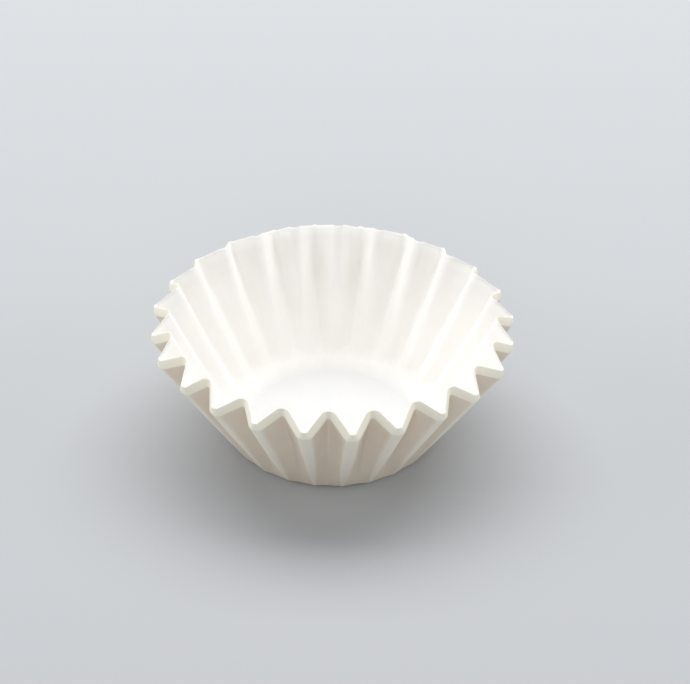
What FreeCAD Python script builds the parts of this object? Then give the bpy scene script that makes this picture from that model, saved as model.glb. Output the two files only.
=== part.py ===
"""A fluted paper coffee filter: a round flat floor and a pleated wall, folded from one sheet.

The wall turns up from the floor at a rounded heel and opens outwards. Each pleat has an
outward fold, called a ridge, and an inward fold, called a groove. The pleats are shallow
at the foot of the wall and get deeper towards the rim, and inside the cup they die away
into a wide cove. Every fold is rounded on both sides. The sheet is equally long along
every fold, and a groove leans out less than a ridge, so the rim stands higher at the
grooves. Its cut edge is nearly upright.

The origin is the centre of the underside, +Z is up, and lengths are in millimetres.
"""

import FreeCAD
import Part
import math
import os

pleat_count = 24

# Where the panels meet on the outer face, from the axis, before the folds are rounded.
# The foot is where the wall would meet the underside if the heel were sharp.
rim_radius = 75.9
rim_pleat_depth = 8.6
foot_radius = 42.8
foot_pleat_depth = 0.95

# Length of the sheet along each fold, from the foot to the rim's outer edge.
wall_length = 58.0

# The sheet, and the height of its cut edge all around the rim.
sheet_thickness = 2.1
rim_edge_height = 3.5

# Radii of the round side of a fold, and of its hollow side, the crease.
foot_fold_radius = 6.0
rim_fold_radius = 2.9
foot_crease_radius = 2.0
rim_crease_radius = 1.6

# Radii of the bends between wall and floor, outside and inside.
heel_radius = 3.2
cove_radius = 12.0

# A panel twists as it rises, so the wall is made in steps that grow taller towards the
# rim, and the heel and the cove turn in steps too.
wall_steps = 3
heel_steps = 2
cove_steps = 4

half_pitch = math.pi / pleat_count
ridge_run = rim_radius - foot_radius
groove_run = ridge_run - rim_pleat_depth + foot_pleat_depth
ridge_lean = math.asin(ridge_run / wall_length)
groove_lean = math.asin(groove_run / wall_length)
mean_lean = (ridge_lean + groove_lean) / 2
level_thickness = sheet_thickness / math.cos(mean_lean)

# Where the bends end on the wall and where the inner face ends, as shares of the height
# from the foot to the rim's outer edge.
wall_height = wall_length * math.cos(mean_lean)
heel_share = heel_radius * (1 - math.sin(mean_lean)) / wall_height
cove_share = (sheet_thickness + cove_radius * (1 - math.sin(mean_lean))) / wall_height
inner_rim_share = 1 + rim_edge_height / wall_height


def polar(radius, angle, height):
    return FreeCAD.Vector(radius * math.cos(angle), radius * math.sin(angle), height)


def between(start, end, share):
    return start + (end - start) * share


def rounded_corner(corner, angle, height, tilt, radius):
    """Start, middle and end of the arc that rounds one corner of a level line.

    The tilt is the turn from the corner's own direction to the square of each panel, and
    the radius is positive for a ridge and negative for a groove.
    """
    centre = polar(corner - radius / math.cos(tilt), angle, height)
    return [centre + polar(radius, angle + turn, 0) for turn in (-tilt, 0, tilt)]


def level_line(share, inside, drawn_in, ridge_height, groove_height):
    """Rounded corners of one closed line around the wall, a ridge and a groove in turn.

    The share runs from 0 at the foot to 1 at the rim and sets how deep the pleats are.
    Drawing in moves the whole line towards the axis.
    """
    ridge = between(foot_radius, rim_radius, share) - drawn_in
    groove = ridge - between(foot_pleat_depth, rim_pleat_depth, share)
    across = groove * math.sin(half_pitch)
    outward = ridge - groove * math.cos(half_pitch)
    ridge_tilt = math.atan2(outward, across)
    groove_tilt = ridge_tilt - half_pitch
    fold = between(foot_fold_radius, rim_fold_radius, share)
    crease = between(foot_crease_radius, rim_crease_radius, share)
    if inside:
        ridge -= level_thickness / math.cos(ridge_tilt)
        groove -= level_thickness / math.cos(groove_tilt)

    corners = []
    for pleat in range(pleat_count):
        angle = half_pitch * (2 * pleat + 1)
        radius = crease if inside else fold
        corners.append(rounded_corner(ridge, angle, ridge_height, ridge_tilt, radius))
        angle = half_pitch * (2 * pleat + 2)
        radius = fold if inside else crease
        corners.append(rounded_corner(groove, angle, groove_height, -groove_tilt, -radius))
    return corners


def wall_line(share, inside):
    """The level line of the outer or the inner face, this share of the way up the wall."""
    ridge_height = wall_length * math.cos(ridge_lean) * share
    groove_height = wall_length * math.cos(groove_lean) * share
    return level_line(share, inside, 0, ridge_height, groove_height)


def flat_face(*points):
    return Part.Face(Part.makePolygon(list(points) + [points[0]]))


def band(first, second):
    """Faces of the strip between two level lines: curved folds, and panels in two flats."""
    faces = []
    for here in range(len(first)):
        after = (here + 1) % len(first)
        low_arc = Part.Arc(*first[here]).toShape()
        high_arc = Part.Arc(*second[here]).toShape()
        faces.append(Part.makeRuledSurface(low_arc, high_arc))
        low_start, low_end = first[here][-1], first[after][0]
        high_start, high_end = second[here][-1], second[after][0]
        faces.append(flat_face(low_start, low_end, high_end))
        faces.append(flat_face(low_start, high_end, high_start))
    return faces


def bands(lines):
    return [face for pair in zip(lines, lines[1:]) for face in band(*pair)]


def flat_end(line):
    """The flat face within a level line."""
    edges = []
    for here, corner in enumerate(line):
        edges.append(Part.Arc(*corner).toShape())
        after = line[(here + 1) % len(line)]
        edges.append(Part.LineSegment(corner[-1], after[0]).toShape())
    return Part.Face(Part.Wire(edges))


def bend_angles(steps):
    """Turns from the lean of the wall down to the level floor."""
    return [between(mean_lean, math.pi / 2, step / steps) for step in range(steps + 1)]


def heel_lines():
    """Level lines of the outer bend, from the underside up."""
    lines = []
    for down in bend_angles(heel_steps):
        drawn_in = heel_radius * (math.cos(mean_lean) - math.cos(down))
        height = heel_radius * (1 - math.sin(down))
        lines.append(level_line(heel_share, False, drawn_in, height, height))
    return lines[::-1]


def cove_lines():
    """Level lines of the inner bend, from the wall down to the floor, as the pleats die away."""
    lines = []
    for down in bend_angles(cove_steps):
        share = cove_share * (math.pi / 2 - down) / (math.pi / 2 - mean_lean)
        drawn_in = cove_radius * (math.cos(mean_lean) - math.cos(down))
        drawn_in -= (cove_share - share) * ridge_run
        height = sheet_thickness + cove_radius * (1 - math.sin(down))
        lines.append(level_line(share, True, drawn_in, height, height))
    return lines


def folded_sheet():
    heel = heel_lines()
    cove = cove_lines()
    steps = [(step / wall_steps) ** 2 for step in range(1, wall_steps + 1)]
    outer = [wall_line(between(heel_share, 1, step), False) for step in steps]
    inner = [wall_line(between(cove_share, inner_rim_share, step), True) for step in steps]

    faces = [flat_end(heel[0]), flat_end(cove[-1])]
    faces += bands(heel + outer + inner[::-1] + cove)
    skin = Part.makeShell(faces)
    skin.sewShape()
    return Part.makeSolid(skin)


def main():
    os.makedirs("parts", exist_ok=True)
    coffee_filter = folded_sheet()
    coffee_filter.exportStep("parts/coffee_filter.step")


main()
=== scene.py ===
"""A fluted paper coffee filter standing on a pale grey floor, seen from above in soft light.

Lengths are in metres, angles in radians. The paper is one closed surface: level lines are
drawn around the pleated wall at many heights, joined into a sheet that runs from the middle
of the underside, out and up the outer wall, over the cut edge, down the inner wall and in
to the middle of the floor.
"""

import bpy
import math
import numpy as np
from mathutils import Matrix, Vector


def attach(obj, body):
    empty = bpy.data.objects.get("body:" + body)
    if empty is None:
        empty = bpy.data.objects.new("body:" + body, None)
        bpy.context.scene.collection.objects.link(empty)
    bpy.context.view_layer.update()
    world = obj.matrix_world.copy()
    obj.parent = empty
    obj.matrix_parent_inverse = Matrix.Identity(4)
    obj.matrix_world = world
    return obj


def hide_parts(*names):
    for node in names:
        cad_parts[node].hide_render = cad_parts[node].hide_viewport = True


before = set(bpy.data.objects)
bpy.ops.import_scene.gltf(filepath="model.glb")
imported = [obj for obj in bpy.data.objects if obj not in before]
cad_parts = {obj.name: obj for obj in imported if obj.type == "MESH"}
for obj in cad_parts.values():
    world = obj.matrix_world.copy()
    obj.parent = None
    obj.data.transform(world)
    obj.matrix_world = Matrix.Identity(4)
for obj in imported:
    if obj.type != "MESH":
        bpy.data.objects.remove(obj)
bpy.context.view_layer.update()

rng = np.random.default_rng(24)
mm = 0.001

# The pleated wall, measured on the outer face. A ridge is an outward fold, a groove an
# inward one.
pleat_count = 24
rim_radius = 74.6 * mm
rim_pleat_depth = 7.1 * mm
foot_radius = 42.6 * mm
foot_pleat_depth = 0.4 * mm
wall_length = 58.0 * mm
sheet_thickness = 2.1 * mm

# Radii on the inner side of the folds. The power says how soon they change above the foot.
ridge_foot_crease = 1.2 * mm
ridge_rim_crease = 1.5 * mm
groove_foot_crease = 1.2 * mm
groove_rim_crease = 1.0 * mm
crease_power = 0.7

# Bends between wall and floor, outside and inside. By the end of the cove this share of the
# pleats has flattened out.
heel_radius = 3.2 * mm
cove_radius = 12.0 * mm
cove_fading = 0.7

# The cut edge: its height, its bulge, and its rounded corners. Their size is a share of the
# wall, and the power says how square they are.
rim_edge_height = 3.5 * mm
edge_bulge = 0.12 * mm
edge_corner = 0.004
corner_power = 8

# Points around each fold arc and across each panel, and numbers of level lines.
arc_steps = 8
panel_steps = 7
heel_rows = 8
wall_rows = 40
edge_steps = 14
cove_rows = 12
underside_rings = 6
cup_floor_rings = 8

half_pitch = math.pi / pleat_count
ridge_lean = math.asin((rim_radius - foot_radius) / wall_length)
groove_reach = rim_radius - rim_pleat_depth - foot_radius + foot_pleat_depth
groove_lean = math.asin(groove_reach / wall_length)
mean_lean = (ridge_lean + groove_lean) / 2
level_thickness = sheet_thickness / math.cos(mean_lean)

# Where the bends end on the wall, and where the inner face ends, as shares of the way up.
wall_height = wall_length * math.cos(mean_lean)
heel_along = heel_radius * (1 - math.sin(mean_lean)) / wall_height
cove_along = (sheet_thickness + cove_radius * (1 - math.sin(mean_lean))) / wall_height
rim_rise = rim_edge_height / wall_height


def vary(spread):
    """One small random offset for each pleat."""
    return rng.uniform(-spread, spread, pleat_count)


# Every pleat differs a little from the next, as pressed paper does. The rim also tilts, a
# little higher in front than behind, and the pleats nearest the camera sit further round,
# with a taller groove in their middle.
front_pleat = 17
front_turn = 0.010
front_pleats = 1.5
front_rise = 0.8 * mm
rim_tilt = 0.55 * mm
ridge_dip = 0.35 * mm
from_front = np.arange(pleat_count) - front_pleat
turn_in_front = front_turn * np.exp(-(from_front / front_pleats) ** 2)
tilt = rim_tilt * np.cos(2 * half_pitch * from_front)
ridge_turn = vary(0.010) + turn_in_front
groove_turn = vary(0.012) + turn_in_front
ridge_out = vary(0.5 * mm)
groove_out = vary(0.5 * mm)
ridge_rise = vary(0.35 * mm) + tilt - ridge_dip
groove_rise = vary(0.35 * mm) + tilt
groove_rise[front_pleat] += front_rise
ridge_bow = vary(0.35 * mm)
groove_bow = vary(0.35 * mm)
ridge_round = vary(0.25 * mm)
groove_round = vary(0.15 * mm)


def directions(angle):
    return np.stack([np.cos(angle), np.sin(angle)], axis=-1)


def within_half_turn(angle):
    """The same turn as an angle of at most half a circle either way."""
    return (angle + math.pi) % (2 * math.pi) - math.pi


def ridge_angles(strength):
    return half_pitch * (2 * np.arange(pleat_count) + 1) + ridge_turn * strength


def groove_angles(strength):
    return half_pitch * (2 * np.arange(pleat_count) + 2) + groove_turn * strength


def level(along, face, drawn_in=0, fading=0, height=None):
    """Points of one level line around the wall, counter-clockwise, as rows of x, y, z.

    Along goes from 0 at the foot to 1 at the rim. The face is the inset from the outer
    face. Drawing in moves the whole line towards the axis, and fading flattens the pleats.
    The line rises and falls with the folds unless a height is given.
    """
    swell = math.sin(math.pi * min(along, 1))
    strength = min(along, 1)
    lean_out = foot_radius + (rim_radius - foot_radius) * along
    ridge_tip = lean_out + ridge_out * strength + ridge_bow * swell - drawn_in
    depth = foot_pleat_depth + (rim_pleat_depth - foot_pleat_depth) * along
    groove_tip = lean_out - depth + groove_out * strength + groove_bow * swell - drawn_in
    middle = (ridge_tip.mean() + groove_tip.mean()) / 2
    ridge_tip = ridge_tip + (middle - ridge_tip) * fading
    groove_tip = groove_tip + (middle - groove_tip) * fading

    # Each fold is an arc around a centre of its own. These are its radii on the outer face.
    blend = strength ** crease_power
    ridge_arc = ridge_foot_crease + (ridge_rim_crease - ridge_foot_crease) * blend
    ridge_arc = ridge_arc + ridge_round * strength + level_thickness
    groove_arc = groove_foot_crease + (groove_rim_crease - groove_foot_crease) * blend
    groove_arc = groove_arc + groove_round * strength

    ridge_centre = directions(ridge_angles(strength)) * (ridge_tip - ridge_arc)[:, None]
    groove_centre = directions(groove_angles(strength)) * (groove_tip + groove_arc)[:, None]
    next_centre = np.roll(ridge_centre, -1, axis=0)
    next_arc = np.roll(ridge_arc, -1)

    # A panel touches the arcs on both its sides, so it stands square to a radius of each.
    gap = groove_centre - ridge_centre
    leaving = np.arctan2(gap[:, 1], gap[:, 0])
    leaving = leaving - np.arccos((ridge_arc + groove_arc) / np.hypot(gap[:, 0], gap[:, 1]))
    gap = groove_centre - next_centre
    arriving = np.arctan2(gap[:, 1], gap[:, 0])
    arriving = arriving + np.arccos((next_arc + groove_arc) / np.hypot(gap[:, 0], gap[:, 1]))

    arriving_here = np.roll(arriving, 1)
    turn = within_half_turn(leaving - arriving_here)
    steps = np.linspace(0, 1, arc_steps + 1)
    ridge_turns = arriving_here[:, None] + turn[:, None] * steps
    ridge_reach = (ridge_arc - face)[:, None, None]
    ridge_line = ridge_centre[:, None, :] + directions(ridge_turns) * ridge_reach

    turn = within_half_turn(arriving - leaving)
    groove_turns = leaving[:, None] + turn[:, None] * steps
    groove_reach = (groove_arc + face)[:, None, None]
    groove_line = groove_centre[:, None, :] - directions(groove_turns) * groove_reach

    ridge_height = wall_length * math.cos(ridge_lean) * along + ridge_rise * strength
    groove_height = wall_length * math.cos(groove_lean) * along + groove_rise * strength
    if height is not None:
        ridge_height = np.full(pleat_count, height)
        groove_height = np.full(pleat_count, height)
    next_height = np.roll(ridge_height, -1)
    next_line = np.roll(ridge_line, -1, axis=0)

    share = np.arange(1, panel_steps)[None, :, None] / panel_steps
    down_panel = ridge_line[:, -1:, :] * (1 - share) + groove_line[:, :1, :] * share
    up_panel = groove_line[:, -1:, :] * (1 - share) + next_line[:, :1, :] * share
    flat = np.concatenate([ridge_line, down_panel, groove_line, up_panel], axis=1)

    share = share[:, :, 0]
    heights = np.concatenate([
        np.repeat(ridge_height[:, None], arc_steps + 1, axis=1),
        ridge_height[:, None] * (1 - share) + groove_height[:, None] * share,
        np.repeat(groove_height[:, None], arc_steps + 1, axis=1),
        groove_height[:, None] * (1 - share) + next_height[:, None] * share,
    ], axis=1)
    points = np.concatenate([flat, heights[:, :, None]], axis=2)
    return points.reshape(-1, 3)


def spread_to_middle(line, rings):
    """Level lines that shrink from this one towards the axis."""
    lines = []
    for share in np.linspace(1, 0, rings + 1)[1:-1]:
        ring = line.copy()
        ring[:, :2] *= share
        lines.append(ring)
    return lines


def heel_lines():
    """Level lines of the bend outside, from the underside up to the wall."""
    lines = []
    for down in np.linspace(math.pi / 2, mean_lean, heel_rows):
        drawn_in = heel_radius * (math.cos(mean_lean) - math.cos(down))
        height = heel_radius * (1 - math.sin(down))
        lines.append(level(heel_along, 0, drawn_in=drawn_in, height=height))
    return lines


def cove_lines():
    """Level lines of the bend inside, from the wall down to the floor, as the pleats die away."""
    lines = []
    for down in np.linspace(mean_lean, math.pi / 2, cove_rows)[1:]:
        drawn_in = cove_radius * (math.cos(mean_lean) - math.cos(down))
        height = sheet_thickness + cove_radius * (1 - math.sin(down))
        fading = cove_fading * (down - mean_lean) / (math.pi / 2 - mean_lean)
        lines.append(level(cove_along, level_thickness, drawn_in, fading, height))
    return lines


def rim_edge_lines():
    """Level lines over the cut edge, which bulges a little and has rounded corners."""
    lines = []
    for share in np.linspace(0, 1, edge_steps + 1):
        corner = 1 - math.sqrt(1 - (2 * share - 1) ** corner_power)
        rise = rim_rise * share - edge_corner * corner
        bulge = edge_bulge * math.sin(math.pi * share)
        lines.append(level(1 + rise, level_thickness * share - bulge))
    return lines


heel = heel_lines()
outer_heights = np.linspace(heel_along, 1 - edge_corner, wall_rows)[1:-1]
outer_wall = [level(along, 0) for along in outer_heights]
rim_edge = rim_edge_lines()
inner_heights = np.linspace(1 + rim_rise - edge_corner, cove_along, wall_rows)[1:]
inner_wall = [level(along, level_thickness) for along in inner_heights]
cove = cove_lines()
underside = spread_to_middle(heel[0], underside_rings)[::-1]
cup_floor = spread_to_middle(cove[-1], cup_floor_rings)
outside = underside + heel + outer_wall
inside = inner_wall + cove + cup_floor
rows = outside + rim_edge + inside


def closed_sheet(name, lines):
    """A closed mesh through the level lines, with one point at the middle of each end."""
    around = len(lines[0])
    last_line = 1 + (len(lines) - 1) * around
    last = last_line + around
    first_middle = [[0, 0, lines[0][0, 2]]]
    last_middle = [[0, 0, lines[-1][0, 2]]]
    points = np.concatenate([first_middle, *lines, last_middle])
    faces = []
    for column in range(around):
        beside = (column + 1) % around
        faces.append((0, 1 + beside, 1 + column))
        for row in range(len(lines) - 1):
            here = 1 + row * around + column
            there = 1 + row * around + beside
            faces.append((here, there, there + around, here + around))
        faces.append((last, last_line + column, last_line + beside))
    mesh = bpy.data.meshes.new(name)
    mesh.from_pydata(points.tolist(), [], faces)
    mesh.polygons.foreach_set("use_smooth", [True] * len(mesh.polygons))
    mesh.update()
    piece = bpy.data.objects.new(name, mesh)
    bpy.context.scene.collection.objects.link(piece)
    return piece


def mark(piece, name, up, around):
    """A value on every point of the sheet: its level line's times its place's around."""
    values = np.concatenate([[0], np.outer(up, around).ravel(), [0]])
    attribute = piece.data.attributes.new(name, "FLOAT", "POINT")
    attribute.data.foreach_set("value", values)


paper = closed_sheet("pleated_paper", rows)
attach(paper, "root")
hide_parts("coffee_filter")

# Where each tone of the paper lies, for every level line from the underside over the cut
# edge to the cup's floor.
edge_rows = len(rim_edge)
outer_shares = [1.0] * len(outside) + list(np.linspace(1, 0, edge_rows)) + [0.0] * len(inside)
edge_shares = [0.0] * len(outside) + list(np.linspace(0, 1, edge_rows)) + [0.0] * len(inside)
on_edge = [0.0] * (len(outside) + 1) + [1.0] * (edge_rows - 2) + [0.0] * (len(inside) + 1)
# A paler band along the top of the inner wall. This is a painted highlight.
rim_highlight_fade = [1.0, 1.0, 0.5]
by_rim_highlight = [0.0] * (len(outside) + edge_rows) + rim_highlight_fade + [0.0] * (len(inside) - len(rim_highlight_fade))
# The cup floor fades to a greyer tone. This is painted shade, set against the stronger light that
# falls on it.
floor_fade_rows = 7
floor_fade_start = len(rows) - len(cup_floor) - floor_fade_rows - 1
on_floor = np.clip((np.arange(len(rows)) - floor_fade_start) / floor_fade_rows, 0, 1)

# And for every place around a pleat, the lighter outer ridges, which are painted light: full on
# the ridge, weaker where it ends.
ridge_light_end = 0.35
ridge_light_on_fold = [ridge_light_end] + [1.0] * (arc_steps - 1) + [ridge_light_end]
panel_places = [0.0] * (panel_steps - 1)
groove_places = [0.0] * (arc_steps + 1)
ridge_light_places = (ridge_light_on_fold + panel_places + groove_places + panel_places) * pleat_count
everywhere = np.ones(len(rows[0]))
mark(paper, "outer_side", outer_shares, everywhere)
mark(paper, "edge_across", edge_shares, everywhere)
mark(paper, "cut_edge", on_edge, everywhere)
mark(paper, "cup_floor", on_floor, everywhere)
mark(paper, "inner_rim_highlight", by_rim_highlight, everywhere)
mark(paper, "outer_ridge_light", outer_shares, ridge_light_places)


def new_material(name):
    material = bpy.data.materials.new(name)
    material.use_nodes = True
    nodes = material.node_tree.nodes
    return material, nodes, material.node_tree.links, nodes["Principled BSDF"]


def noise(nodes, links, coordinates, scale, detail):
    texture = nodes.new("ShaderNodeTexNoise")
    texture.inputs["Scale"].default_value = scale
    texture.inputs["Detail"].default_value = detail
    texture.inputs["Roughness"].default_value = 0.55
    links.new(coordinates, texture.inputs["Vector"])
    return texture.outputs["Fac"]


def ramp(nodes, links, value, low, low_colour, high, high_colour):
    colour_ramp = nodes.new("ShaderNodeValToRGB")
    elements = colour_ramp.color_ramp.elements
    elements[0].position = low
    elements[0].color = (*low_colour, 1)
    elements[1].position = high
    elements[1].color = (*high_colour, 1)
    links.new(value, colour_ramp.inputs["Fac"])
    return colour_ramp.outputs["Color"]


def mixed(nodes, links, share, first, second):
    mix = nodes.new("ShaderNodeMix")
    mix.data_type = "RGBA"
    links.new(share, mix.inputs["Factor"])
    links.new(first, mix.inputs["A"])
    links.new(second, mix.inputs["B"])
    return mix.outputs["Result"]


def attribute(nodes, name):
    node = nodes.new("ShaderNodeAttribute")
    node.attribute_name = name
    return node.outputs["Fac"]


def bumped(nodes, links, height, strength, distance, before=None):
    bump = nodes.new("ShaderNodeBump")
    bump.inputs["Strength"].default_value = strength
    bump.inputs["Distance"].default_value = distance
    links.new(height, bump.inputs["Height"])
    if before is not None:
        links.new(before, bump.inputs["Normal"])
    return bump.outputs["Normal"]


# Creped paper: near white inside and creamier on the cut edge. Light and shade are painted on it
# as well: a paler inner rim is a painted highlight, a greyer cup floor is painted shade, a darker
# and creamier outside is painted shade, and lighter outer ridges are painted light. It is softly
# mottled, with a fine crepe grain, longer soft waves and the lines of the layers along the cut
# edge.
paper_material, nodes, links, surface = new_material("creped_paper")
place = nodes.new("ShaderNodeTexCoord").outputs["Object"]
mottle = noise(nodes, links, place, 60, 4)


def mottled(darker, lighter):
    return ramp(nodes, links, mottle, 0.3, darker, 0.7, lighter)


wall_tone = mottled((0.915, 0.90, 0.87), (0.94, 0.925, 0.90))
# The greyer cup floor below is painted shade.
cup_floor_painted_shade = mottled((0.705, 0.705, 0.703), (0.725, 0.725, 0.723))
# The paler inner rim below is a painted highlight.
rim_painted_highlight = mottled((0.95, 0.94, 0.915), (0.97, 0.96, 0.935))
# The darker, creamier outer side below is painted shade on the same paper.
outer_painted_shade = mottled((0.785, 0.70, 0.585), (0.825, 0.745, 0.63))
# The lighter outer ridges below are painted light.
ridge_painted_light = mottled((0.88, 0.825, 0.725), (0.92, 0.87, 0.775))
edge_tone = mottled((0.95, 0.92, 0.78), (0.97, 0.945, 0.815))
tone = mixed(nodes, links, attribute(nodes, "cup_floor"), wall_tone, cup_floor_painted_shade)
tone = mixed(nodes, links, attribute(nodes, "inner_rim_highlight"), tone, rim_painted_highlight)
tone = mixed(nodes, links, attribute(nodes, "outer_side"), tone, outer_painted_shade)
tone = mixed(nodes, links, attribute(nodes, "outer_ridge_light"), tone, ridge_painted_light)
tone = mixed(nodes, links, attribute(nodes, "cut_edge"), tone, edge_tone)
links.new(tone, surface.inputs["Base Color"])
surface.inputs["Roughness"].default_value = 0.92
surface.inputs["Specular IOR Level"].default_value = 0.2

layer_count = 7
layer_turn = nodes.new("ShaderNodeMath")
layer_turn.operation = "MULTIPLY"
layer_turn.inputs[1].default_value = 2 * math.pi * layer_count
links.new(attribute(nodes, "edge_across"), layer_turn.inputs[0])
layer_wave = nodes.new("ShaderNodeMath")
layer_wave.operation = "COSINE"
links.new(layer_turn.outputs[0], layer_wave.inputs[0])
grain = bumped(nodes, links, noise(nodes, links, place, 900, 3), 0.25, 0.3 * mm)
waves = bumped(nodes, links, noise(nodes, links, place, 110, 2), 0.35, 1.0 * mm, grain)
layers = bumped(nodes, links, layer_wave.outputs[0], 0.3, 0.1 * mm, waves)
links.new(layers, surface.inputs["Normal"])
paper.data.materials.append(paper_material)

# The floor: matt pale grey, painted a little lighter towards the back, a painted fall of light.
half = 6.0
front_grey = (0.443, 0.455, 0.476)
back_grey = (0.525, 0.548, 0.569)
grey_from, grey_to = -0.25, 0.35
corners = [(-half, -half, 0), (half, -half, 0), (half, half, 0), (-half, half, 0)]
floor_mesh = bpy.data.meshes.new("floor")
floor_mesh.from_pydata(corners, [], [(0, 1, 2, 3)])
floor = bpy.data.objects.new("floor", floor_mesh)
bpy.context.scene.collection.objects.link(floor)
floor_material, nodes, links, surface = new_material("grey_floor")
place = nodes.new("ShaderNodeTexCoord").outputs["Object"]
split = nodes.new("ShaderNodeSeparateXYZ")
links.new(place, split.inputs[0])
depth_share = nodes.new("ShaderNodeMapRange")
depth_share.inputs["From Min"].default_value = grey_from
depth_share.inputs["From Max"].default_value = grey_to
links.new(split.outputs["Y"], depth_share.inputs["Value"])
colour = ramp(nodes, links, depth_share.outputs["Result"], 0, front_grey, 1, back_grey)
links.new(colour, surface.inputs["Base Color"])
surface.inputs["Roughness"].default_value = 0.95
surface.inputs["Specular IOR Level"].default_value = 0.1
floor.data.materials.append(floor_material)


def soft_lamp(name, place, width, depth, power):
    """A white rectangular area lamp that faces the object."""
    lamp = bpy.data.lights.new(name, "AREA")
    lamp.shape = "RECTANGLE"
    lamp.size = width
    lamp.size_y = depth
    lamp.energy = power
    holder = bpy.data.objects.new(name, lamp)
    holder.location = place
    holder.rotation_euler = (-Vector(place)).to_track_quat("-Z", "Y").to_euler()
    bpy.context.scene.collection.objects.link(holder)


# One wide soft lamp overhead and a little behind, weak ones in front and low on both sides,
# and even light from all around.
soft_lamp("overhead_softbox", (0.0, 1.48, 3.1), width=5.2, depth=2.6, power=150.0)
soft_lamp("front_fill", (-0.3, -2.9, 1.8), width=2.4, depth=1.6, power=21.0)
soft_lamp("left_fill", (-2.8, -0.2, 1.05), width=2.0, depth=1.2, power=21.0)
soft_lamp("right_fill", (2.8, -0.2, 1.05), width=2.0, depth=1.2, power=17.0)
world = bpy.data.worlds.new("studio")
world.use_nodes = True
sky = world.node_tree.nodes["Background"]
sky.inputs["Color"].default_value = (1.0, 1.0, 1.0, 1)
sky.inputs["Strength"].default_value = 0.316
bpy.context.scene.world = world

# The camera stands in front and looks down at about 36 degrees through a long lens.
camera_data = bpy.data.cameras.new("camera")
camera_data.lens = 157.1
camera_data.sensor_width = 36.0
camera_data.clip_end = 20.0
camera = bpy.data.objects.new("camera", camera_data)
camera_place = Vector((0.0224, -1.0024, 0.7644))
sight = Vector((-0.0141, 0.8114, -0.5844))
roll = 0.0177
aim = sight.to_track_quat("-Z", "Y").to_matrix().to_4x4()
camera.matrix_world = Matrix.Translation(camera_place) @ aim @ Matrix.Rotation(roll, 4, "Z")
bpy.context.scene.collection.objects.link(camera)
bpy.context.scene.camera = camera
bpy.context.scene.view_settings.view_transform = "Standard"
